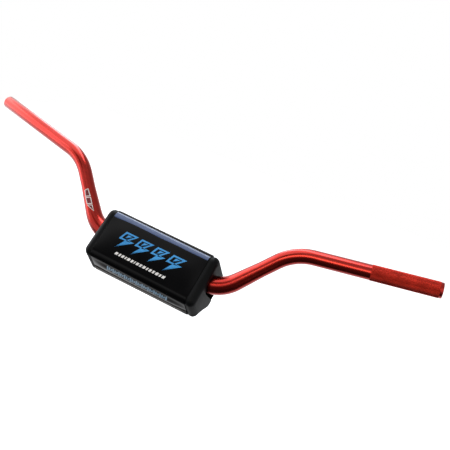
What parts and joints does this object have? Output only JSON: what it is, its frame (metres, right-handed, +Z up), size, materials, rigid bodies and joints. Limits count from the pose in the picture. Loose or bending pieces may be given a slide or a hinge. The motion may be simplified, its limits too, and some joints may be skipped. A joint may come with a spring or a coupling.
{
  "type": "motocross handlebar",
  "caption": "Wide double-bend motocross handlebar of tapered tube with a knurled clutch end, and a wrapped foam crash pad over its clamp section.",
  "frame": {"origin": "centre of the straight clamp section, on the tube's axis", "axes": "+X along the clamp section to the knurled clutch end (rider's left), +Y back to the rider, +Z up, as the bar sits in its clamps"},
  "size_m": [0.792, 0.1126, 0.1863],
  "materials": {
    "anodised_tube": "glossy red anodised, knurled on the clutch end",
    "foam": "moulded closed-cell foam, matt",
    "coated_fabric": "glossy vinyl-coated fabric",
    "binding_tape": "stitched woven tape",
    "closure": "hook-and-loop fastener"
  },
  "bodies": {
    "root": {"handlebar": "anodised_tube", "foam_pad": "foam", "cover_front_panel": "coated_fabric", "cover_upper_flap": "coated_fabric", "cover_lower_flap": "coated_fabric", "upper_binding": "binding_tape", "lower_binding": "binding_tape", "hook_strip": "closure", "loop_strip": "closure"}
  },
  "joints": []
}
